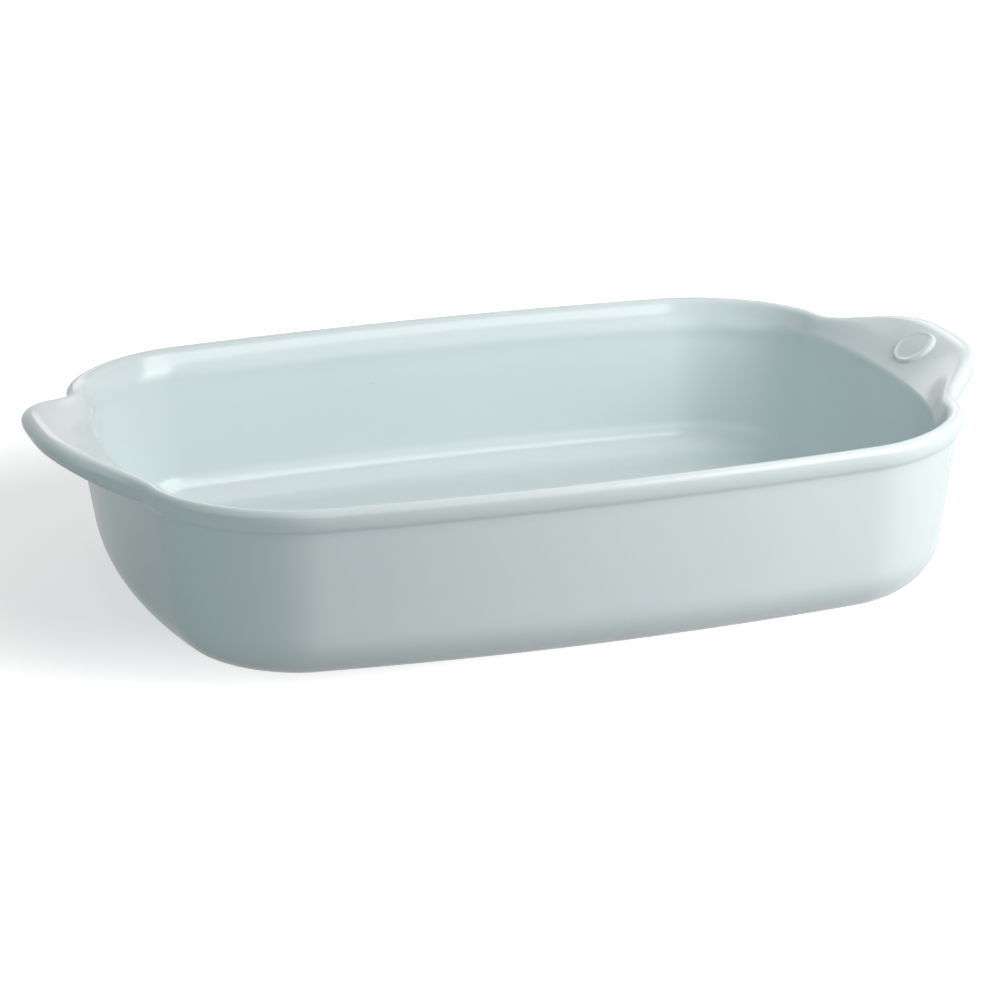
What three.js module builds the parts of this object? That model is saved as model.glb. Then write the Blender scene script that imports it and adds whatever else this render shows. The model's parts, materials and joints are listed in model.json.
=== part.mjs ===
// Rectangular stoneware baking dish with a rolled rim that opens into two wing handles.
// Millimetres, +Z up, standing on z = 0 with the origin under the middle. X runs along the length.
import * as THREE from 'three';

// Rim outline, seen from above
const RIM_LENGTH = 313;
const RIM_WIDTH = 235;
const RIM_HEIGHT = 68;
const CORNER_RADIUS = 42.4;
const SIDE_BOW = 9.7;
const END_BOW = 13;
const LEAST_RADIUS = 2;

// Basin walls and floor
const WALL = 7;
const FLOOR = 6;
const DRAFT = THREE.MathUtils.degToRad(7.9);
const OUTER_FILLET = 20;
const INNER_FILLET = 16;

// Rolled rim: a soft roll outside, a flared lip inside
const RIM_OVERHANG = 2.1;
const CREST_RADIUS = 2.5;
const ROLL_REACH = 4;
const ROLL_DROP = 5;
const UNDER_RADIUS = 6;
const UNDER_TURN = THREE.MathUtils.degToRad(20);
const LIP_DEPTH = 8;
const LIP_SLOPE = THREE.MathUtils.degToRad(66);
const LIP_CREST_TURN = THREE.MathUtils.degToRad(155);
const LIP_BREAK = 3;
const SEAT_MARGIN = 0.6;

// Wing handles: the lip drawn out and up, rounded over to a rolled edge
const HANDLE_SPAN = 136;
const HANDLE_REACH = 22.5;
const HANDLE_RISE = 7;
const HANDLE_CREST_RADIUS = 10;
const HANDLE_ROLL_REACH = 4.5;
const HANDLE_ROLL_DROP = 3.2;
const HANDLE_UNDER_RADIUS = 2.6;
const HANDLE_UNDER_TURN = THREE.MathUtils.degToRad(74);
const HANDLE_LIP_DEPTH = 6.5;
const HANDLE_LIP_SHIFT = 3;
const HANDLE_SLOPE = THREE.MathUtils.degToRad(34);
const HANDLE_CREST_TURN = THREE.MathUtils.degToRad(110);
const HANDLE_BREAK = 2.2;
const HANDLE_OPENING = 9;
const SWELL_BREADTH = 3.5;
const SWELL_TAPER = 3.4;
const UNDERSIDE_HOLLOW = 0.35;

// Raised oval pad on the right handle
const BADGE_LENGTH = 21;
const BADGE_WIDTH = 17;
const BADGE_THICKNESS = 0.8;
const BADGE_BORDER = 1.6;
const BADGE_BORDER_RISE = 0.4;
const BADGE_PLACE = 0.45;

// Foot ring under the basin
const FOOT_HEIGHT = 1.5;
const FOOT_WIDTH = 5;
const FOOT_INSET = 2;
const FOOT_SOFTENING = 0.5;

// Gap left at every seam between two pieces
const SEAM = 0.3;

// Facets
const BASIN_STEPS = 96;
const RIM_STEPS = 44;
const HANDLE_STEPS = 32;
const END_CLOSENESS = 0.55;
const ARC_STEPS = 4;
const BADGE_STEPS = 28;

// Levels and offsets that follow from the sizes above
const HALF_X = RIM_LENGTH / 2 - END_BOW;
const HALF_Y = RIM_WIDTH / 2 - SIDE_BOW;
const CORE_X = HALF_X - CORNER_RADIUS;
const CORE_Y = HALF_Y - CORNER_RADIUS;
const CORNER_ARC = (CORNER_RADIUS * Math.PI) / 2;
const HALF_ROUND = 2 * CORE_Y + 2 * CORE_X + 2 * CORNER_ARC;
const BASE_Z = FOOT_HEIGHT + SEAM;
const FLOOR_Z = BASE_Z + FLOOR;
const SEAT_Z = RIM_HEIGHT - LIP_DEPTH - LIP_BREAK - SEAT_MARGIN;
const INNER_OFFSET = -RIM_OVERHANG - WALL;

const GLAZE = { color: 0xc6d4d5, roughness: 0.18, metalness: 0 };
const BARE_CLAY = { color: 0xd9cdb9, roughness: 0.85, metalness: 0 };

// A place on the outline, by its distance round from the middle of the right end, going to the back:
// a core point and the outward direction. Offsets from the rim are measured along that direction.
function placeOnOutline(round) {
  const whole = 2 * HALF_ROUND;
  let s = ((round % whole) + whole) % whole;
  let turn = 0;
  if (s >= HALF_ROUND - CORE_Y && s < whole - CORE_Y) {
    turn = Math.PI;
    s -= HALF_ROUND;
  } else if (s >= whole - CORE_Y) {
    s -= whole;
  }
  const past = s - CORE_Y;
  let core = new THREE.Vector2(CORE_X, s);
  let angle = 0;
  if (past > CORNER_ARC + 2 * CORE_X) {
    core = new THREE.Vector2(-CORE_X, CORE_Y);
    angle = Math.PI / 2 + (past - CORNER_ARC - 2 * CORE_X) / CORNER_RADIUS;
  } else if (past > CORNER_ARC) {
    core = new THREE.Vector2(CORE_X - (past - CORNER_ARC), CORE_Y);
    angle = Math.PI / 2;
  } else if (past > 0) {
    core = new THREE.Vector2(CORE_X, CORE_Y);
    angle = past / CORNER_RADIUS;
  }
  const middle = new THREE.Vector2();
  return { core: core.rotateAround(middle, turn), angle: angle + turn };
}

// The point at an offset from the rim outline and a height, with the sides and ends bowed outwards.
function outlinePoint(place, offset, z) {
  const reach = Math.max(CORNER_RADIUS + offset, LEAST_RADIUS);
  const x = place.core.x + Math.cos(place.angle) * reach;
  const y = place.core.y + Math.sin(place.angle) * reach;
  const alongX = x / (CORE_X + reach);
  const alongY = y / (CORE_Y + reach);
  const bowX = END_BOW * alongX * (1 - alongY * alongY);
  const bowY = SIDE_BOW * alongY * (1 - alongX * alongX);
  return new THREE.Vector3(x + bowX, y + bowY, z);
}

// Points on an arc, in a profile of offset and height. An oval arc has its own radius up.
function arc(centre, radius, from, to, steps, radiusUp = radius) {
  const points = [];
  for (let i = 0; i <= steps; i += 1) {
    const angle = from + ((to - from) * i) / steps;
    points.push(new THREE.Vector2(
      centre.x + radius * Math.cos(angle),
      centre.y + radiusUp * Math.sin(angle),
    ));
  }
  return points;
}

// How far the rim has opened into a handle at a distance from the handle's middle, each from 0 to 1:
// the outer edge swells out and up in a bell over the span, the inner wall leans out in a broader bell,
// the inner lip opens quickly at each end.
function openness(fromMiddle) {
  const share = Math.min(Math.abs(fromMiddle) / (HANDLE_SPAN / 2), 1);
  const fromEnd = HANDLE_SPAN / 2 - Math.abs(fromMiddle);
  const swell = (1 - share ** SWELL_BREADTH) ** SWELL_TAPER;
  return {
    swell,
    lean: Math.sqrt(swell),
    lip: THREE.MathUtils.smoothstep(fromEnd, 0, HANDLE_OPENING),
  };
}

// The offset of the top of the inner wall
function innerTop(open) {
  return INNER_OFFSET + HANDLE_LIP_SHIFT * open.lean;
}

// The flared inside of the lip, from the break at the top of the inner wall to the crest
function lipCurve(open) {
  const { lerp } = THREE.MathUtils;
  const radius = lerp(CREST_RADIUS, HANDLE_CREST_RADIUS, open.swell);
  const rollReach = lerp(ROLL_REACH, HANDLE_ROLL_REACH, open.swell);
  const edge = HANDLE_REACH * open.swell;
  const top = RIM_HEIGHT + HANDLE_RISE * open.swell;
  const slope = lerp(LIP_SLOPE, HANDLE_SLOPE, open.lip);
  const crestTurn = lerp(LIP_CREST_TURN, HANDLE_CREST_TURN, open.lip);
  const depth = lerp(LIP_DEPTH, HANDLE_LIP_DEPTH, open.lip);
  const softness = lerp(LIP_BREAK, HANDLE_BREAK, open.lip);
  const corner = new THREE.Vector2(innerTop(open), RIM_HEIGHT - depth);
  const along = new THREE.Vector2(Math.cos(slope), Math.sin(slope));
  const crest = new THREE.Vector2(edge - rollReach, top - radius);
  const start = corner.clone().addScaledVector(along, softness);
  const end = arc(crest, radius, crestTurn, crestTurn, 1)[0];
  const third = start.distanceTo(end) / 3;
  const back = new THREE.Vector2(-Math.sin(crestTurn), Math.cos(crestTurn));
  const flare = new THREE.CubicBezierCurve(
    start,
    start.clone().addScaledVector(along, third),
    end.clone().addScaledVector(back, third),
    end,
  );
  const breakFrom = new THREE.Vector2(corner.x, corner.y - softness);
  const breakCurve = new THREE.QuadraticBezierCurve(breakFrom, corner, start);
  return { breakCurve, flare, crest, radius, crestTurn, rollReach, edge, top };
}

// The underside of the rim: an arc under the roll, then one curve down to the outside of the wall,
// a gentle S on the plain rim and a shallow cove under a handle
function undersidePoints(open, edge, rollFoot) {
  const { lerp } = THREE.MathUtils;
  const radius = lerp(UNDER_RADIUS, HANDLE_UNDER_RADIUS, open.swell);
  const turn = lerp(UNDER_TURN, HANDLE_UNDER_TURN, open.swell);
  const under = arc(new THREE.Vector2(edge - radius, rollFoot), radius, 0, -turn, ARC_STEPS - 1);
  const end = under[under.length - 1];
  const seat = new THREE.Vector2(-RIM_OVERHANG, SEAT_Z);
  const third = end.distanceTo(seat) / 3;
  const hollow = new THREE.Vector2(
    lerp(seat.x, end.x, UNDERSIDE_HOLLOW),
    lerp(end.y, seat.y, UNDERSIDE_HOLLOW),
  );
  const leaving = new THREE.Vector2(-Math.sin(turn), -Math.cos(turn)).multiplyScalar(third).add(end);
  const arriving = new THREE.Vector2(Math.sin(DRAFT), Math.cos(DRAFT)).multiplyScalar(third).add(seat);
  leaving.lerp(end.clone().lerp(hollow, 2 / 3), open.swell);
  arriving.lerp(seat.clone().lerp(hollow, 2 / 3), open.swell);
  const cove = new THREE.CubicBezierCurve(end, leaving, arriving, seat);
  return [...under.slice(1), ...cove.getPoints(ARC_STEPS).slice(1)];
}

// The closed section of the rim at one place, as offset from the outline and height: traced from the
// seat's inner edge over the crest and the roll to its outer edge, then turned to run anticlockwise
function rimSection(fromMiddle) {
  const open = openness(fromMiddle);
  const { breakCurve, flare, crest, radius, crestTurn, rollReach, edge, top } = lipCurve(open);
  const rollDrop = THREE.MathUtils.lerp(ROLL_DROP, HANDLE_ROLL_DROP, open.swell);
  const rollCentre = new THREE.Vector2(crest.x, top - rollDrop);
  const quarter = Math.PI / 2;
  return [
    new THREE.Vector2(innerTop(open), SEAT_Z),
    ...breakCurve.getPoints(ARC_STEPS - 1),
    ...flare.getPoints(ARC_STEPS + 1).slice(1),
    ...arc(crest, radius, crestTurn, quarter, 2).slice(1),
    ...arc(rollCentre, rollReach, quarter, 0, ARC_STEPS, rollDrop).slice(1),
    ...undersidePoints(open, edge, rollCentre.y),
  ].reverse();
}

// Half of the basin's section at one place: from the edge of the flat floor up the inner wall, across the
// seat of the rim and down the outer wall to the edge of the flat base
function basinProfile(fromMiddle) {
  const lean = Math.tan(DRAFT);
  const topZ = SEAT_Z - SEAM;
  const innerCentre = new THREE.Vector2(0, FLOOR_Z + INNER_FILLET);
  innerCentre.x = INNER_OFFSET - lean * (SEAT_Z - innerCentre.y) - INNER_FILLET / Math.cos(DRAFT);
  const outerCentre = new THREE.Vector2(0, BASE_Z + OUTER_FILLET);
  outerCentre.x = -RIM_OVERHANG - lean * (SEAT_Z - outerCentre.y) - OUTER_FILLET / Math.cos(DRAFT);
  const quarter = Math.PI / 2;
  const inner = arc(innerCentre, INNER_FILLET, -quarter, -DRAFT, 2 * ARC_STEPS);
  const outer = arc(outerCentre, OUTER_FILLET, -DRAFT, -quarter, 2 * ARC_STEPS);
  return [
    ...inner,
    new THREE.Vector2(innerTop(openness(fromMiddle)) - lean * SEAM, topZ),
    new THREE.Vector2(-RIM_OVERHANG - lean * SEAM, topZ),
    ...outer,
  ];
}

// Strips of triangles between rings of points. Open rings are capped afterwards, others join end to end.
function stripsBetween(rings, open) {
  const size = rings[0].length;
  const positions = [];
  for (const ring of rings) {
    for (const point of ring) {
      positions.push(point.x, point.y, point.z);
    }
  }
  const triangles = [];
  const last = open ? rings.length - 1 : rings.length;
  for (let r = 0; r < last; r += 1) {
    const next = (r + 1) % rings.length;
    for (let i = 0; i < size; i += 1) {
      const j = (i + 1) % size;
      triangles.push(r * size + i, next * size + i, r * size + j);
      triangles.push(r * size + j, next * size + i, next * size + j);
    }
  }
  return { positions, triangles, size, lastStart: (rings.length - 1) * size };
}

// Closes the first and the last ring with a fan round a middle point each
function closeWithFans(body, firstMiddle, lastMiddle) {
  const middle = body.positions.length / 3;
  body.positions.push(...firstMiddle.toArray(), ...lastMiddle.toArray());
  for (let i = 0; i < body.size; i += 1) {
    const j = (i + 1) % body.size;
    body.triangles.push(middle, i, j);
    body.triangles.push(middle + 1, body.lastStart + j, body.lastStart + i);
  }
}

function geometryOf(body) {
  const geometry = new THREE.BufferGeometry();
  geometry.setAttribute('position', new THREE.Float32BufferAttribute(body.positions, 3));
  geometry.setIndex(body.triangles);
  geometry.computeVertexNormals();
  return geometry;
}

// A length of the rim between two distances round the outline, with flat ends and closer steps near them
function rimLength(from, to, steps, middle) {
  const rings = [];
  for (let i = 0; i <= steps; i += 1) {
    const share = i / steps;
    const closer = share - (END_CLOSENESS * Math.sin(2 * Math.PI * share)) / (2 * Math.PI);
    const round = from + (to - from) * closer;
    const place = placeOnOutline(round);
    rings.push(rimSection(round - middle).map((p) => outlinePoint(place, p.x, p.y)));
  }
  const body = stripsBetween(rings, true);
  const { lastStart } = body;
  for (const [a, b, c] of THREE.ShapeUtils.triangulateShape(rimSection(from - middle), [])) {
    body.triangles.push(a, b, c);
  }
  for (const [a, b, c] of THREE.ShapeUtils.triangulateShape(rimSection(to - middle), [])) {
    body.triangles.push(lastStart + a, lastStart + c, lastStart + b);
  }
  return geometryOf(body);
}

// The basin: its section carried round the outline, the floor and the base closed at the middle
function basin() {
  const profileSize = basinProfile(0).length;
  const rings = Array.from({ length: profileSize }, () => []);
  for (let i = 0; i < BASIN_STEPS; i += 1) {
    const round = (2 * HALF_ROUND * i) / BASIN_STEPS;
    const place = placeOnOutline(round);
    const fromMiddle = round - HALF_ROUND * Math.round(round / HALF_ROUND);
    basinProfile(fromMiddle).forEach((p, k) => rings[k].push(outlinePoint(place, p.x, p.y)));
  }
  const body = stripsBetween(rings, true);
  closeWithFans(body, new THREE.Vector3(0, 0, FLOOR_Z), new THREE.Vector3(0, 0, BASE_Z));
  return geometryOf(body);
}

// The foot ring: a low band with softened edges, set in from where the outer fillet meets the base
function footRing() {
  const profile = basinProfile(0);
  const outside = profile[profile.length - 1].x - FOOT_INSET;
  const inside = outside - FOOT_WIDTH;
  const section = [
    new THREE.Vector2(inside, FOOT_SOFTENING),
    new THREE.Vector2(inside + FOOT_SOFTENING, 0),
    new THREE.Vector2(outside - FOOT_SOFTENING, 0),
    new THREE.Vector2(outside, FOOT_SOFTENING),
    new THREE.Vector2(outside, FOOT_HEIGHT),
    new THREE.Vector2(inside, FOOT_HEIGHT),
  ];
  const rings = [];
  for (let i = 0; i < BASIN_STEPS; i += 1) {
    const place = placeOnOutline((2 * HALF_ROUND * i) / BASIN_STEPS);
    rings.push(section.map((p) => outlinePoint(place, p.x, p.y)));
  }
  return geometryOf(stripsBetween(rings, false));
}

// The point on top of the right handle at a distance from its middle and a share of the flare,
// and the direction straight up from the surface there
function handleTop(fromMiddle, share) {
  const nearby = 0.01;
  const at = (s, t) => {
    const p = lipCurve(openness(s)).flare.getPoint(t);
    return outlinePoint(placeOnOutline(s), p.x, p.y);
  };
  const point = at(fromMiddle, share);
  const alongSpan = at(fromMiddle + nearby, share).sub(point);
  const upFlare = at(fromMiddle, share + nearby).sub(point);
  return { point, up: upFlare.cross(alongSpan).normalize() };
}

// The badge: an oval pad that follows the handle's top, with a raised plain border
function badge() {
  const flareLength = lipCurve(openness(0)).flare.getLength();
  const inner = 1 - (2 * BADGE_BORDER) / BADGE_WIDTH;
  const levels = [
    { share: inner / 2, lift: SEAM },
    { share: 1, lift: SEAM },
    { share: 1, lift: SEAM + BADGE_THICKNESS },
    { share: (1 + inner) / 2, lift: SEAM + BADGE_THICKNESS + BADGE_BORDER_RISE },
    { share: inner, lift: SEAM + BADGE_THICKNESS },
    { share: inner / 2, lift: SEAM + BADGE_THICKNESS },
  ];
  const onHandle = (span, across, lift) => {
    const { point, up } = handleTop(span, BADGE_PLACE + across / flareLength);
    return point.addScaledVector(up, lift);
  };
  const ovalRing = (share, lift) => {
    const ring = [];
    for (let i = 0; i < BADGE_STEPS; i += 1) {
      const angle = (2 * Math.PI * i) / BADGE_STEPS;
      const span = (share * BADGE_LENGTH * Math.cos(angle)) / 2;
      const across = (share * BADGE_WIDTH * Math.sin(angle)) / 2;
      ring.push(onHandle(span, across, lift));
    }
    return ring;
  };
  const body = stripsBetween(levels.map((level) => ovalRing(level.share, level.lift)), true);
  closeWithFans(body, onHandle(0, 0, SEAM), onHandle(0, 0, SEAM + BADGE_THICKNESS));
  return geometryOf(body);
}

function piece(name, geometry, finish) {
  const mesh = new THREE.Mesh(geometry, new THREE.MeshStandardMaterial(finish));
  mesh.name = name;
  return mesh;
}

// The rim is laid round the outline in four lengths: a handle at each end and a plain length between them
const halfHandle = HANDLE_SPAN / 2 - SEAM / 2;
const rimStart = HANDLE_SPAN / 2 + SEAM / 2;
const rimEnd = HALF_ROUND - rimStart;
const handleAt = (middle) => rimLength(middle - halfHandle, middle + halfHandle, HANDLE_STEPS, middle);
const plainRimAfter = (middle) => rimLength(middle + rimStart, middle + rimEnd, RIM_STEPS, middle);

const dish = new THREE.Group();
dish.add(
  piece('basin', basin(), GLAZE),
  piece('rim_back', plainRimAfter(0), GLAZE),
  piece('rim_front', plainRimAfter(HALF_ROUND), GLAZE),
  piece('handle_right', handleAt(0), GLAZE),
  piece('handle_left', handleAt(HALF_ROUND), GLAZE),
  piece('handle_badge', badge(), GLAZE),
  piece('foot_ring', footRing(), BARE_CLAY),
);

export default dish;
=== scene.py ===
import json

import bpy
import numpy as np
from mathutils import Matrix, Vector

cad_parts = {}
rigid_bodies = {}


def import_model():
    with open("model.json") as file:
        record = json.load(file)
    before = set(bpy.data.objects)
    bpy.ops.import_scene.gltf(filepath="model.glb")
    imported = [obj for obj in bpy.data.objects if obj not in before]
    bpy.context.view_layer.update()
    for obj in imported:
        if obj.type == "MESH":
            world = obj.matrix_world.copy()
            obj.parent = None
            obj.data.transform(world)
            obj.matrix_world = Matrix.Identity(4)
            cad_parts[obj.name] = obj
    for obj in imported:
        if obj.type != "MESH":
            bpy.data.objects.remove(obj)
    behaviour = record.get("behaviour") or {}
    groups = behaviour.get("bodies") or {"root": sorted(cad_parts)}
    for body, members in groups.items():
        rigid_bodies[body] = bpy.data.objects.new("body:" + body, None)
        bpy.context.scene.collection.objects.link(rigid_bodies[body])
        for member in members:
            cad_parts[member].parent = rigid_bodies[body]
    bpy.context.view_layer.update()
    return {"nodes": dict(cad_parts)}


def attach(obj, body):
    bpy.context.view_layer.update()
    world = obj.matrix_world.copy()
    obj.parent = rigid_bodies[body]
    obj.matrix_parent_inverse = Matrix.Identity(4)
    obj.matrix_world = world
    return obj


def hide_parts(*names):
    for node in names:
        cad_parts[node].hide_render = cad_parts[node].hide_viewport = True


for leftOver in list(bpy.data.objects):
    bpy.data.objects.remove(leftOver)

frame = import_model()
print("frame loaded:", ", ".join(sorted(frame["nodes"])))


# Wiring for materials: + - * between wires and numbers add Math nodes, node() adds any other kind
class Wire:
    def __init__(self, tree, socket=None):
        self.tree = tree
        self.socket = socket

    def node(self, kind, settings=None, inputs=None, output=0):
        made = self.tree.nodes.new(kind)
        for name, value in (settings or {}).items():
            setattr(made, name, value)
        for key, value in (inputs or {}).items():
            self.feed(made.inputs[key], value)
        return Wire(self.tree, made.outputs[output])

    def feed(self, socket, value):
        if isinstance(value, Wire):
            self.tree.links.new(value.socket, socket)
        else:
            socket.default_value = value

    def math(self, operation, first, second):
        return self.node("ShaderNodeMath", {"operation": operation}, {0: first, 1: second})

    def __add__(self, other):
        return self.math("ADD", self, other)

    def __radd__(self, other):
        return self.math("ADD", other, self)

    def __sub__(self, other):
        return self.math("SUBTRACT", self, other)

    def __rsub__(self, other):
        return self.math("SUBTRACT", other, self)

    def __mul__(self, other):
        return self.math("MULTIPLY", self, other)

    def __rmul__(self, other):
        return self.math("MULTIPLY", other, self)

    def ramp(self, low, high):  # 0 below low, 1 above high, eased between
        settings = {"interpolation_type": "SMOOTHSTEP"}
        limits = {"Value": self, "From Min": low, "From Max": high}
        return self.node("ShaderNodeMapRange", settings, limits)

    def between(self, first, second):  # colour from first to second as this wire goes from 0 to 1
        return self.node("ShaderNodeMix", {"data_type": "RGBA"}, {0: self, 6: first, 7: second}, 2)

    def noise(self, scale, detail):
        return self.node("ShaderNodeTexNoise", None, {"Vector": self, "Scale": scale, "Detail": detail})


def newMaterial(name):
    material = bpy.data.materials.new(name)
    material.use_nodes = True
    shader = material.node_tree.nodes["Principled BSDF"]
    return material, Wire(material.node_tree), shader


# Glaze: pale blue-grey, thin and paler on sharp edges, deeper where it pools in hollows
glaze = {
    "color": (0.747, 0.828, 0.832, 1),
    "thinColor": (0.765, 0.842, 0.846, 1),
    "pooledColor": (0.682, 0.782, 0.787, 1),
    "cloudColor": (0.725, 0.816, 0.821, 1),
    "thinBend": (0.15, 1.0),   # bend of the surface where it starts and where it is full
    "thinShare": 0.8,
    "pooledBend": (0.05, 0.7),
    "pooledShare": 0.7,
    "cloudScale": 17,          # per metre
    "cloudSpan": (0.42, 0.68),  # noise from clear to clouded
    "cloudShare": 0.6,
    "roughness": 0.13,
    "roughnessSpread": 0.06,
    "smearScale": 45,
    "rippleScale": 70,         # slow waviness of the melted surface
    "rippleDepth": 0.00006,    # metres
    "peelScale": 420,
    "peelDepth": 0.000006,
    "pinholeColor": (0.42, 0.48, 0.48, 1),
    "pinholeScale": 24,
    "pinholeSize": 0.012,      # share of a cell
    "pinholeHeart": 0.6,       # share of the pinhole that is full
    "pinholePatch": 12,        # noise that picks the few patches with any
    "pinholeSpan": (0.60, 0.64),
    "pinholeShare": 0.35,
    "ior": 1.5,
}


def glazeMaterial():
    material, wire, shader = newMaterial("paleGlaze")
    place = wire.node("ShaderNodeTexCoord", output="Object")
    bend = wire.node("ShaderNodeAttribute", {"attribute_name": "edgeBend"}, output="Fac")
    thin = bend.ramp(*glaze["thinBend"]) * glaze["thinShare"]
    pooled = (0 - bend).ramp(*glaze["pooledBend"]) * glaze["pooledShare"]
    cloud = place.noise(glaze["cloudScale"], 3).ramp(*glaze["cloudSpan"]) * glaze["cloudShare"]
    smear = place.noise(glaze["smearScale"], 2)
    cells = wire.node("ShaderNodeTexVoronoi", None, {"Vector": place, "Scale": glaze["pinholeScale"]})
    chosen = place.noise(glaze["pinholePatch"], 0).ramp(*glaze["pinholeSpan"])
    heart = glaze["pinholeSize"] * glaze["pinholeHeart"]
    pinhole = (1 - cells.ramp(heart, glaze["pinholeSize"])) * chosen
    color = cloud.between(glaze["color"], glaze["cloudColor"])
    color = pooled.between(color, glaze["pooledColor"])
    color = thin.between(color, glaze["thinColor"])
    color = (pinhole * glaze["pinholeShare"]).between(color, glaze["pinholeColor"])
    ripple = place.noise(glaze["rippleScale"], 1) * glaze["rippleDepth"]
    peel = place.noise(glaze["peelScale"], 2) * glaze["peelDepth"]
    height = ripple + peel - pinhole * glaze["rippleDepth"]
    bump = wire.node("ShaderNodeBump", None, {"Height": height, "Strength": 1.0, "Distance": 1.0})
    wire.feed(shader.inputs["Base Color"], color)
    wire.feed(shader.inputs["Roughness"], smear * glaze["roughnessSpread"] + glaze["roughness"])
    wire.feed(shader.inputs["Normal"], bump)
    shader.inputs["IOR"].default_value = glaze["ior"]
    return material


# Bare clay: sandy, with darker grains and pale scuffs where the foot is ground flat
clay = {
    "color": (0.57, 0.47, 0.35, 1),
    "darkColor": (0.40, 0.31, 0.22, 1),
    "groundColor": (0.68, 0.60, 0.49, 1),
    "grainScale": 1500,        # per metre
    "grainSpan": (0.5, 0.72),  # noise from pale to dark grain
    "grainDepth": 0.00008,     # metres
    "patchScale": 90,
    "patchSpan": (0.4, 0.65),
    "patchShare": 0.3,
    "groundDepth": 0.0003,     # up from the face that the dish stands on
    "groundShare": 0.7,
    "roughness": 0.78,
    "roughnessSpread": 0.15,
}


def clayMaterial():
    material, wire, shader = newMaterial("bareClay")
    place = wire.node("ShaderNodeTexCoord", output="Object")
    height = wire.node("ShaderNodeSeparateXYZ", None, {0: place}, "Z")
    grain = place.noise(clay["grainScale"], 3)
    patch = place.noise(clay["patchScale"], 2).ramp(*clay["patchSpan"]) * clay["patchShare"]
    ground = (1 - height.ramp(0.0, clay["groundDepth"])) * clay["groundShare"]
    color = grain.ramp(*clay["grainSpan"]).between(clay["color"], clay["darkColor"])
    color = patch.between(color, clay["groundColor"])
    color = ground.between(color, clay["groundColor"])
    relief = grain * clay["grainDepth"]
    bump = wire.node("ShaderNodeBump", None, {"Height": relief, "Strength": 1.0, "Distance": 1.0})
    wire.feed(shader.inputs["Base Color"], color)
    wire.feed(shader.inputs["Roughness"], clay["roughness"] + grain * clay["roughnessSpread"])
    wire.feed(shader.inputs["Normal"], bump)
    return material


# Surfaces: a grid of points closed round its first axis becomes quads. Its profile ends on two poles or,
# without poles, closes on itself. Rounds go anticlockwise from above and the profile runs outwards and
# down, so every face looks out.
def ringSurface(name, grid, material, poles=None):
    rounds, across = grid.shape[:2]
    index = np.arange(rounds * across).reshape(rounds, across)
    points = grid.reshape(-1, 3)
    fans = []
    if poles is None:
        index = np.concatenate([index, index[:, :1]], axis=1)
    else:
        firstPole = np.full(rounds, len(points))
        points = np.concatenate([points, poles])
        first, last = index[:, 0], index[:, -1]
        fans = np.stack([firstPole, first, np.roll(first, -1)], axis=1).tolist()
        fans += np.stack([firstPole + 1, np.roll(last, -1), last], axis=1).tolist()
    after = np.roll(index, -1, axis=0)
    quads = np.stack([index[:, :-1], index[:, 1:], after[:, 1:], after[:, :-1]], axis=-1)
    mesh = bpy.data.meshes.new(name)
    mesh.from_pydata(points.tolist(), [], quads.reshape(-1, 4).tolist() + fans)
    mesh.shade_smooth()
    mesh.materials.append(material)
    piece = bpy.data.objects.new(name, mesh)
    bpy.context.scene.collection.objects.link(piece)
    print("made", name, "with", len(mesh.polygons), "faces")
    return piece


tiny = 1e-12                   # keeps a division from meeting zero
easePasses = 4


# Bend of the surface at each grid point, signed and eased: how far the point stands above the mean of its
# neighbours, over their distance squared, times a reference radius. Positive on edges, negative in hollows.
def edgeBend(grid, radius):
    def neighbours(values):
        before = np.concatenate([values[:, :1], values[:, :-1]], axis=1)
        after = np.concatenate([values[:, 1:], values[:, -1:]], axis=1)
        return before, after, np.roll(values, 1, axis=0), np.roll(values, -1, axis=0)

    before, after, left, right = neighbours(grid)
    normal = np.cross(after - before, right - left)
    normal /= np.maximum(np.linalg.norm(normal, axis=-1, keepdims=True), tiny)

    def along(one, other):
        reach = (np.sum((one - grid) ** 2, axis=-1) + np.sum((other - grid) ** 2, axis=-1)) / 2
        return np.sum((2 * grid - one - other) * normal, axis=-1) / np.maximum(reach, tiny)

    bend = (along(before, after) + along(left, right)) * radius
    for _ in range(easePasses):
        bend = (bend + sum(neighbours(bend)) / 4) / 2
    return bend


def keepBend(piece, bend, poles):  # stored for the glaze; the poles are flat
    values = np.concatenate([bend.ravel(), np.zeros(len(poles))]).astype(np.float32)
    attribute = piece.data.attributes.new("edgeBend", "FLOAT", "POINT")
    attribute.data.foreach_set("value", values)


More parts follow.
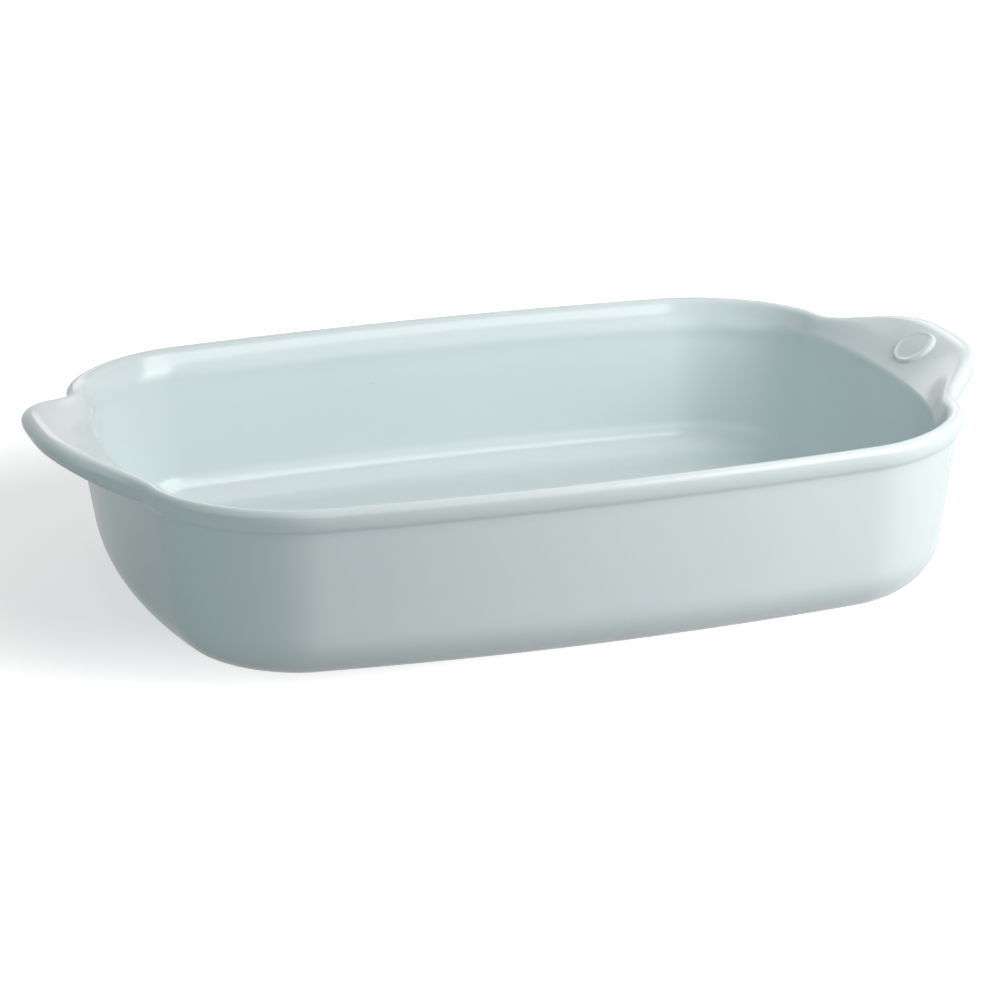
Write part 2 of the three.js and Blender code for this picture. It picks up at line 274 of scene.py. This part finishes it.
# Body of the dish, in metres and degrees: bowed rounded rectangle, drafted walls, rolled rim, wing handles
body = {
    "rimLength": 0.313,
    "rimWidth": 0.235,
    "rimHeight": 0.068,
    "cornerRadius": 0.0424,
    "sideBow": 0.0097,
    "endBow": 0.013,
    "leastRadius": 0.002,
    "wall": 0.007,
    "floorLevel": 0.0078,
    "baseLevel": 0.0018,
    "draft": 7.9,
    "outerFillet": 0.020,
    "innerFillet": 0.016,
    "seatDepth": 0.0090,       # from the rim's top down to the plain wall
    "bandStep": 0.0021,
    "crestRadius": 0.0032,
    "rollReach": 0.0027,       # the roll outside the crest, across and down
    "rollDrop": 0.0024,
    "underRadius": 0.0115,
    "underTurn": 22,
    "lipDepth": 0.008,
    "lipSlope": 60,
    "lipCrestTurn": 150,
    "lipBreak": 0.0055,
    "handleSpan": 0.136,
    "handleReach": 0.0225,
    "handleRise": 0.007,
    "handleCrestRadius": 0.010,
    "handleRollReach": 0.0045,
    "handleRollDrop": 0.0032,
    "handleUnderRadius": 0.0026,
    "handleUnderTurn": 74,
    "handleLipDepth": 0.0065,
    "handleLipShift": 0.003,
    "handleSlope": 34,
    "handleCrestTurn": 110,
    "handleBreak": 0.0016,
    "handleOpening": 0.010,
    "creaseFade": 0.030,       # past the handle, round the corner
    "swellBreadth": 3.5,
    "swellTaper": 3.4,
    "undersideHollow": 0.35,
    "bendRadius": 0.003,       # an edge or hollow this tight counts fully for the glaze
    "rounds": 560,             # steps round the outline
    "walkSteps": 4001,         # of the fine walk that they are taken from
    "crowding": 2.5,           # extra steps where the handles open
    "crowdedPlace": 0.006,     # in from the handle's end
    "crowdedReach": 0.010,
    "floorRings": 12,
    "baseRings": 9,
    "poleShare": 0.06,         # innermost ring, as a share of the floor
}
profileSteps = {
    "innerFillet": 14,
    "innerWall": 12,
    "break": 10,
    "flare": 22,
    "crest": 8,
    "roll": 14,
    "under": 10,
    "underside": 18,
    "outerWall": 12,
    "outerFillet": 17,
}
coreX = body["rimLength"] / 2 - body["endBow"] - body["cornerRadius"]
coreY = body["rimWidth"] / 2 - body["sideBow"] - body["cornerRadius"]
cornerArc = body["cornerRadius"] * np.pi / 2
halfRound = 2 * (coreX + coreY + cornerArc)
seatLevel = body["rimHeight"] - body["seatDepth"]
innerOffset = -body["bandStep"] - body["wall"]


def lerp(first, second, share):
    return first + (second - first) * share


def eased(share):
    share = np.clip(share, 0, 1)
    return share * share * (3 - 2 * share)


# Point at a distance along the outline from the middle of the right end, an offset out from it and a
# height. A rounded rectangle walked by distance, its second half the first turned half round; then x grows
# by endBow * u * (1 - v^2) and y by sideBow * v * (1 - u^2), u and v being shares of half length and width.
def outlinePoint(along, offset, height):
    walked = np.mod(along + coreY, 2 * halfRound)
    turned = np.where(walked >= halfRound, -1.0, 1.0)
    past = np.mod(walked, halfRound) - 2 * coreY
    quarter = np.clip(past, 0, cornerArc) + np.clip(past - cornerArc - 2 * coreX, 0, cornerArc)
    angle = quarter / body["cornerRadius"]
    reach = np.maximum(body["cornerRadius"] + offset, body["leastRadius"])
    x = turned * (np.clip(coreX - past + cornerArc, -coreX, coreX) + np.cos(angle) * reach)
    y = turned * (np.clip(past + coreY, -coreY, coreY) + np.sin(angle) * reach)
    u = x / (coreX + reach)
    v = y / (coreY + reach)
    bowedX = x + body["endBow"] * u * (1 - v * v)
    bowedY = y + body["sideBow"] * v * (1 - u * u)
    return np.stack(np.broadcast_arrays(bowedX, bowedY, height), axis=-1)


def spot(offset, height):  # a column of profile points, one for each place round the outline
    return np.stack(np.broadcast_arrays(offset, height))


def bezier(share, *points):  # each pass blends neighbouring control points by the share until one is left
    points = list(points)
    while len(points) > 1:
        points = [lerp(first, second, share) for first, second in zip(points, points[1:])]
    return points[0]


def arcRun(share, centre, radius, start, end):
    turn = np.atleast_2d(np.radians(lerp(start, end, share)))
    return centre + radius * np.stack([np.cos(turn), np.sin(turn)])


def steps(count):  # shares from 0 up to, not including, 1
    return np.arange(count) / count


# How far the rim has opened into a handle, 0 to 1, at a distance from the handle's middle:
# swell = (1 - share^breadth)^taper for the outer edge, and an eased step near each end for the inner lip
def openness(fromMiddle):
    halfSpan = body["handleSpan"] / 2
    share = np.minimum(np.abs(fromMiddle) / halfSpan, 1)
    swell = (1 - share ** body["swellBreadth"]) ** body["swellTaper"]
    return swell, eased((halfSpan - np.abs(fromMiddle)) / body["handleOpening"])


# Control points of the lip: a soft break at the top of the inner wall, then a flare up to the crest arc
def lipPoints(fromMiddle):
    swell, lip = openness(fromMiddle)
    radius = lerp(body["crestRadius"], body["handleCrestRadius"], swell)
    rollReach = lerp(body["rollReach"], body["handleRollReach"], swell)
    edge = body["handleReach"] * swell
    top = body["rimHeight"] + body["handleRise"] * swell
    slope = np.radians(lerp(body["lipSlope"], body["handleSlope"], lip * np.sqrt(swell)))
    crestTurn = lerp(body["lipCrestTurn"], body["handleCrestTurn"], lip)
    wallTop = innerOffset + body["handleLipShift"] * np.sqrt(swell)
    corner = spot(wallTop, body["rimHeight"] - lerp(body["lipDepth"], body["handleLipDepth"], lip))
    pastHandle = np.abs(fromMiddle) - body["handleSpan"] / 2
    softness = lerp(body["handleBreak"], body["lipBreak"], eased(pastHandle / body["creaseFade"]))
    direction = np.stack([np.cos(slope), np.sin(slope)])
    crest = spot(edge - rollReach, top - radius)
    start = corner + direction * softness
    end = arcRun(0, crest, radius, crestTurn, crestTurn)
    third = np.hypot(*(end - start)) / 3
    turn = np.radians(crestTurn)
    back = np.stack([-np.sin(turn), np.cos(turn)])
    flare = (start, start + direction * third, end + back * third, end)
    return corner, softness, flare, crest, radius, crestTurn


# Underside of the rim: an arc under the roll, then one curve to the plain wall, a gentle S on the rim and
# a shallow cove under the handles
def underPoints(swell):
    level = np.zeros_like(swell)
    edge = body["handleReach"] * swell
    top = body["rimHeight"] + body["handleRise"] * swell
    rollFoot = top - lerp(body["rollDrop"], body["handleRollDrop"], swell)
    radius = lerp(body["underRadius"], body["handleUnderRadius"], swell)
    underTurn = lerp(body["underTurn"], body["handleUnderTurn"], swell)
    centre = spot(edge - radius, rollFoot)
    end = arcRun(0, centre, radius, -underTurn, -underTurn)
    seat = spot(-body["bandStep"] + level, seatLevel)
    third = np.hypot(*(end - seat)) / 3
    turn, draft = np.radians(underTurn), np.radians(body["draft"])
    leaving = end - np.stack([np.sin(turn), np.cos(turn)]) * third
    arriving = seat + spot(np.sin(draft) + level, np.cos(draft)) * third
    reach = body["undersideHollow"]
    hollow = spot(lerp(seat[0], end[0], reach), lerp(end[1], seat[1], reach))
    first = lerp(leaving, lerp(end, hollow, 2 / 3), swell)
    second = lerp(arriving, lerp(seat, hollow, 2 / 3), swell)
    return centre, radius, underTurn, (end, first, second, seat)


# Whole profile at each place round the dish: up the inner fillet and wall, over lip, crest, roll and
# underside, down the outer wall and fillet. Arcs and Bezier curves joined end to end.
def bodyProfile(fromMiddle):
    level = np.zeros_like(fromMiddle)
    swell, _ = openness(fromMiddle)
    corner, softness, flare, crest, radius, crestTurn = lipPoints(fromMiddle)
    lean = np.tan(np.radians(body["draft"]))
    slant = np.cos(np.radians(body["draft"]))
    innerUp = body["floorLevel"] + body["innerFillet"]
    innerIn = innerOffset - lean * (seatLevel - innerUp) - body["innerFillet"] / slant
    outerUp = body["baseLevel"] + body["outerFillet"]
    outerIn = -body["bandStep"] - lean * (seatLevel - outerUp) - body["outerFillet"] / slant
    innerCentre = spot(innerIn + level, innerUp)
    outerCentre = spot(outerIn + level, outerUp)
    breakStart = corner - spot(level, softness)
    rollSize = spot(
        lerp(body["rollReach"], body["handleRollReach"], swell),
        lerp(body["rollDrop"], body["handleRollDrop"], swell),
    )
    rollCentre = crest + spot(level, radius - rollSize[1])
    underCentre, underRadius, underTurn, underside = underPoints(swell)
    innerTop = arcRun(1, innerCentre, body["innerFillet"], -90, -body["draft"])
    outerTop = arcRun(0, outerCentre, body["outerFillet"], -body["draft"], -90)
    run = {name: steps(count) for name, count in profileSteps.items()}
    run["outerFillet"] = np.linspace(0, 1, profileSteps["outerFillet"])
    return np.concatenate([
        arcRun(run["innerFillet"], innerCentre, body["innerFillet"], -90, -body["draft"]),
        bezier(run["innerWall"], innerTop, breakStart),
        bezier(run["break"], breakStart, corner, flare[0]),
        bezier(run["flare"], *flare),
        arcRun(run["crest"], crest, radius, crestTurn, 90),
        arcRun(run["roll"], rollCentre, rollSize, 90, 0),
        arcRun(run["under"], underCentre, underRadius, 0, -underTurn),
        bezier(run["underside"], *underside),
        bezier(run["outerWall"], underside[-1], outerTop),
        arcRun(run["outerFillet"], outerCentre, body["outerFillet"], -body["draft"], -90),
    ], axis=-1)


def fromHandle(along):  # distance from the middle of the nearer handle, forward or back
    return np.mod(along + halfRound / 2, halfRound) - halfRound / 2


# Distances round the outline, closer together where the handles open: a fine walk whose steps weigh
# 1 + crowding * exp(-((distance - place) / reach)^2) is cut into equal weights
def closerAtHandleEnds(rounds):
    fine = np.linspace(0, 2 * halfRound, body["walkSteps"])
    crowdedAt = body["handleSpan"] / 2 - body["crowdedPlace"]
    nearEnd = np.exp(-(((np.abs(fromHandle(fine)) - crowdedAt) / body["crowdedReach"]) ** 2))
    walked = np.concatenate([[0], np.cumsum(1 + body["crowding"] * nearEnd)[:-1]])
    walked /= walked[-1]
    return np.interp(steps(rounds), walked, fine)[:, None]


def glazedBody(material):
    along = closerAtHandleEnds(body["rounds"])
    offset, height = bodyProfile(fromHandle(along))
    walls = outlinePoint(along, offset, height)
    poles = np.array([[0, 0, body["floorLevel"]], [0, 0, body["baseLevel"]]])
    floorShare = np.linspace(body["poleShare"], 1, body["floorRings"])[None, :-1, None]
    baseShare = np.linspace(1, body["poleShare"], body["baseRings"])[None, 1:, None]
    floor = lerp(poles[0], walls[:, :1], floorShare)
    base = lerp(poles[1], walls[:, -1:], baseShare)
    grid = np.concatenate([floor, walls, base], axis=1)
    piece = ringSurface("glazedBody", grid, material, poles)
    keepBend(piece, edgeBend(grid, body["bendRadius"]), poles)
    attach(piece, "root")
    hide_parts("basin", "rim_front", "rim_back", "handle_left", "handle_right")
    return piece


# Oval pad on top of the right handle, left plain inside its raised border
pad = {
    "length": 0.0225,
    "width": 0.0170,
    "place": 0.56,             # share of the way up the flare
    "height": 0.0008,
    "borderRise": 0.00035,
    "borderPlace": 0.90,       # share of the oval's radius
    "borderBreadth": 0.12,
    "footBreadth": 0.28,
    "sunk": 0.0008,
    "underside": 0.0012,       # flat underside, inside the handle
    "bendRadius": 0.0012,
    "rounds": 144,
    "topRings": 44,
    "underRings": 8,
    "poleShare": 0.04,
    "flareSteps": 60,
}


# Height of the pad over the handle at a share of its radius: a plateau that eases down to a sunk foot at
# the outside, plus a rounded ridge, exp(-((share - place) / breadth)^2), near the edge
def padLift(share):
    fall = eased((share - 1) / pad["footBreadth"] + 0.5)
    plateau = lerp(pad["height"], -pad["sunk"], fall)
    ridge = np.exp(-(((share - pad["borderPlace"]) / pad["borderBreadth"]) ** 2))
    return plateau + pad["borderRise"] * ridge


# Top of the handle at a distance along it and a share of the flare, and straight up from it there:
# the normal is the cross product of small steps along and across
def handleTop(fromMiddle, share):
    nearby = 1e-5

    def at(alongSpan, upFlare):
        flare = lipPoints(alongSpan)[2]
        offset, height = bezier(upFlare, *flare)
        return outlinePoint(alongSpan, offset, height)

    point = at(fromMiddle, share)
    normal = np.cross(at(fromMiddle, share + nearby) - point, at(fromMiddle + nearby, share) - point)
    return point, normal / np.linalg.norm(normal, axis=-1, keepdims=True)


def ovalPad(material):
    flare = lipPoints(np.zeros((1, 1)))[2]
    run = bezier(np.linspace(0, 1, pad["flareSteps"]), *flare)
    flareLength = np.sum(np.hypot(*np.diff(run, axis=-1)))
    angle = (2 * np.pi * steps(pad["rounds"]))[:, None]
    outside = 1 + pad["footBreadth"] / 2
    topShare = np.linspace(pad["poleShare"], outside, pad["topRings"])
    underShare = np.linspace(outside, pad["poleShare"], pad["underRings"])[1:]
    share = np.concatenate([topShare, underShare])[None, :]
    lift = np.concatenate([padLift(topShare), np.full(len(underShare), -pad["underside"])])[None, :]
    alongSpan = share * pad["length"] / 2 * np.sin(angle)
    upFlare = pad["place"] + share * pad["width"] / 2 * np.cos(angle) / flareLength
    point, normal = handleTop(alongSpan, upFlare)
    grid = point + normal * lift[..., None]
    middle, up = handleTop(np.zeros((1, 1)), pad["place"])
    poles = np.concatenate([middle + up * padLift(0), middle - up * pad["underside"]])[:, 0]
    piece = ringSurface("ovalPad", grid, material, poles)
    keepBend(piece, edgeBend(grid, pad["bendRadius"]), poles)
    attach(piece, "root")
    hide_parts("handle_badge")
    return piece


# Foot ring: a low band of bare clay under the base, its section a rectangle with rounded corners
foot = {
    "width": 0.005,
    "inset": 0.002,            # in from where the outer fillet meets the base
    "rounding": 0.0006,
    "sunk": 0.0003,            # up into the base
    "rounds": 360,
    "flatSteps": 12,
    "turnSteps": 7,
}


def footRing(material):
    offset, _ = bodyProfile(np.zeros((1, 1)))
    outside = offset[0, -1] - foot["inset"]
    inside = outside - foot["width"]
    top = body["baseLevel"] + foot["sunk"]
    curve = foot["rounding"]

    def turn(offset, height, start):
        centre = spot(np.array([[offset]]), height)
        return arcRun(np.linspace(0, 1, foot["turnSteps"]), centre, curve, start, start - 90)

    section = np.concatenate([
        spot(np.linspace(inside, outside, foot["flatSteps"])[None, :], top),
        turn(outside - curve, curve, 0),
        spot(np.linspace(outside - curve, inside + curve, foot["flatSteps"])[None, 1:-1], 0.0),
        turn(inside + curve, curve, -90),
    ], axis=-1)
    along = (2 * halfRound * steps(foot["rounds"]))[:, None]
    grid = outlinePoint(along, *section)
    piece = ringSurface("footRing", grid, material)
    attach(piece, "root")
    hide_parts("foot_ring")
    return piece


paleGlaze = glazeMaterial()
glazedBody(paleGlaze)
ovalPad(paleGlaze)
footRing(clayMaterial())

# Studio: pale floor that fades to white, with a painted shade behind the left end, a large key lamp at the
# front right, soft light from above and weaker fills round the dish
studio = {
    "floorSize": 6.0,
    "floorColor": (0.45, 0.46, 0.46, 1),
    "floorRoughness": 0.9,
    "floorGlowNear": 0.62,     # floor glow in the painted shade behind the left end
    "floorGlowFar": 1.0,
    "paintedGlossGlowNear": 0.45,     # the same two, dimmer where the glaze mirrors the floor: a painted darker reflection
    "paintedGlossGlowFar": 0.65,
    "paintedShadeMiddle": (-0.10, 0.08, 0),
    "paintedShadeReach": (0.13, 0.13, 1),
    "fadeStart": 0.7,
    "fadeEnd": 1.7,
}
dishMiddle = (0, 0, 0.03)      # where most lamps aim
lamps = {
    "key": {"place": (0.45, -0.42, 0.46), "aim": (0.01, -0.01, 0.03), "size": (0.50, 0.50), "watts": 3.75},
    "lowRight": {"place": (0.60, -0.45, 0.18), "aim": (0.1, -0.1, 0.03), "size": (0.42, 0.34), "watts": 1.0},
    "overhead": {"place": (0.15, 0, 1.0), "aim": (0, 0, 0), "size": (0.80, 0.80), "watts": 1.6},
    "highBack": {"place": (0.25, 0.70, 0.95), "aim": dishMiddle, "size": (0.90, 0.70), "watts": 1.4},
    "front": {"place": (0, -1.2, 0.40), "aim": dishMiddle, "size": (1.0, 0.60), "watts": 2.0},
    "leftFill": {
        "place": (-1.0, -0.35, 0.40), "aim": dishMiddle, "size": (1.0, 0.60), "watts": 2.3,
        "tint": (0.74, 0.98, 1),
    },
    "backStrip": {"place": (0.30, 1.0, 0.42), "aim": (0, 0, 0.06), "size": (0.70, 0.22), "watts": 0.6},
}


def addLamp(name, lamp):
    light = bpy.data.lights.new(name, "AREA")
    light.shape = "RECTANGLE"
    light.size, light.size_y = lamp["size"]
    light.energy = lamp["watts"]
    light.color = lamp.get("tint", (1, 1, 1))
    lampObject = bpy.data.objects.new(name, light)
    toAim = Vector(lamp["aim"]) - Vector(lamp["place"])
    lampObject.location = lamp["place"]
    lampObject.rotation_euler = toAim.to_track_quat("-Z", "Y").to_euler()
    lampObject.visible_camera = False
    bpy.context.scene.collection.objects.link(lampObject)


def seenRay(wire):  # 1 for rays that show the surroundings, to the camera, in gloss or through glass
    path = wire.node("ShaderNodeLightPath")
    outputs = path.socket.node.outputs
    camera = Wire(wire.tree, outputs["Is Camera Ray"])
    glossy = Wire(wire.tree, outputs["Is Glossy Ray"])
    through = Wire(wire.tree, outputs["Is Transmission Ray"])
    return camera.math("MAXIMUM", camera.math("MAXIMUM", camera, glossy), through)


def studioFloor():
    half = studio["floorSize"] / 2
    mesh = bpy.data.meshes.new("studioFloor")
    corners = [(-half, -half, 0), (half, -half, 0), (half, half, 0), (-half, half, 0)]
    mesh.from_pydata(corners, [], [(0, 1, 2, 3)])
    material, wire, shader = newMaterial("paleFloor")
    place = wire.node("ShaderNodeTexCoord", output="Object")
    vector = "ShaderNodeVectorMath"
    # Painted shade: the floor's glow is dimmed in an oval behind the left end, on top of the real shadow the
    # lamps cast
    away = wire.node(vector, {"operation": "SUBTRACT"}, {0: place, 1: studio["paintedShadeMiddle"]})
    away = wire.node(vector, {"operation": "DIVIDE"}, {0: away, 1: studio["paintedShadeReach"]})
    away = wire.node(vector, {"operation": "LENGTH"}, {0: away}, "Value")
    fade = away.ramp(studio["fadeStart"], studio["fadeEnd"])
    # Painted reflection: rays mirrored by the glaze see the floor glow dimmer than the camera does, so the
    # glaze shows darker surroundings
    mirrored = wire.node("ShaderNodeLightPath", output="Is Glossy Ray")
    near = studio["floorGlowNear"] - mirrored * (studio["floorGlowNear"] - studio["paintedGlossGlowNear"])
    far = studio["floorGlowFar"] - mirrored * (studio["floorGlowFar"] - studio["paintedGlossGlowFar"])
    glow = (near + fade * (far - near)) * seenRay(wire)
    shader.inputs["Base Color"].default_value = studio["floorColor"]
    shader.inputs["Roughness"].default_value = studio["floorRoughness"]
    shader.inputs["Specular IOR Level"].default_value = 0.0
    shader.inputs["Emission Strength"].default_value = 1.0
    wire.feed(shader.inputs["Emission Color"], glow)
    clear = wire.node("ShaderNodeBsdfTransparent")
    behind = wire.node("ShaderNodeNewGeometry", output="Backfacing")
    lit = Wire(wire.tree, shader.outputs[0])
    both = wire.node("ShaderNodeMixShader", None, {0: behind, 1: lit, 2: clear})
    output = material.node_tree.nodes["Material Output"]
    wire.feed(output.inputs["Surface"], both)
    mesh.materials.append(material)
    floor = bpy.data.objects.new("studioFloor", mesh)
    bpy.context.scene.collection.objects.link(floor)


def whiteSurroundings():
    world = bpy.data.worlds.new("whiteStudio")
    world.use_nodes = True
    wire = Wire(world.node_tree)
    background = world.node_tree.nodes["Background"]
    background.inputs["Color"].default_value = (1, 1, 1, 1)
    wire.feed(background.inputs["Strength"], seenRay(wire))
    bpy.context.scene.world = world


for lampName, lampValues in lamps.items():
    addLamp(lampName, lampValues)
studioFloor()
whiteSurroundings()
bpy.context.scene.view_settings.view_transform = "Standard"
print("studio lit with", len(lamps), "lamps")

# Viewpoint of the photograph: camera turned round the dish, then by small angles of its own
viewpoint = {
    "target": (0, 0, 0.036),
    "azimuth": -17.74,
    "elevation": 17.26,
    "distance": 1.4830,
    "roll": 0.94,
    "pitch": -0.32,
    "yaw": 0.14,
    "lens": 144,
    "sensor": 36,
}


def photoCamera():
    azimuth, elevation = np.radians([viewpoint["azimuth"], viewpoint["elevation"]])
    level = np.cos(elevation)
    back = Vector((np.sin(azimuth) * level, -np.cos(azimuth) * level, np.sin(elevation)))
    right = (-back).cross(Vector((0, 0, 1))).normalized()
    up = right.cross(-back)
    facing = Matrix((right, up, -back))
    roll = Matrix.Rotation(np.radians(viewpoint["roll"]), 3, "Z")
    pitch = Matrix.Rotation(np.radians(viewpoint["pitch"]), 3, "X")
    yaw = Matrix.Rotation(np.radians(viewpoint["yaw"]), 3, "Y")
    axes = roll @ pitch @ yaw @ facing
    turned = Matrix((axes[0], axes[1], -axes[2])).transposed()
    data = bpy.data.cameras.new("photoCamera")
    data.lens = viewpoint["lens"]
    data.sensor_width = viewpoint["sensor"]
    camera = bpy.data.objects.new("photoCamera", data)
    place = Vector(viewpoint["target"]) + back * viewpoint["distance"]
    camera.matrix_world = Matrix.Translation(place) @ turned.to_4x4()
    bpy.context.scene.collection.objects.link(camera)
    bpy.context.scene.camera = camera


photoCamera()
print("camera set at the photograph's angle")
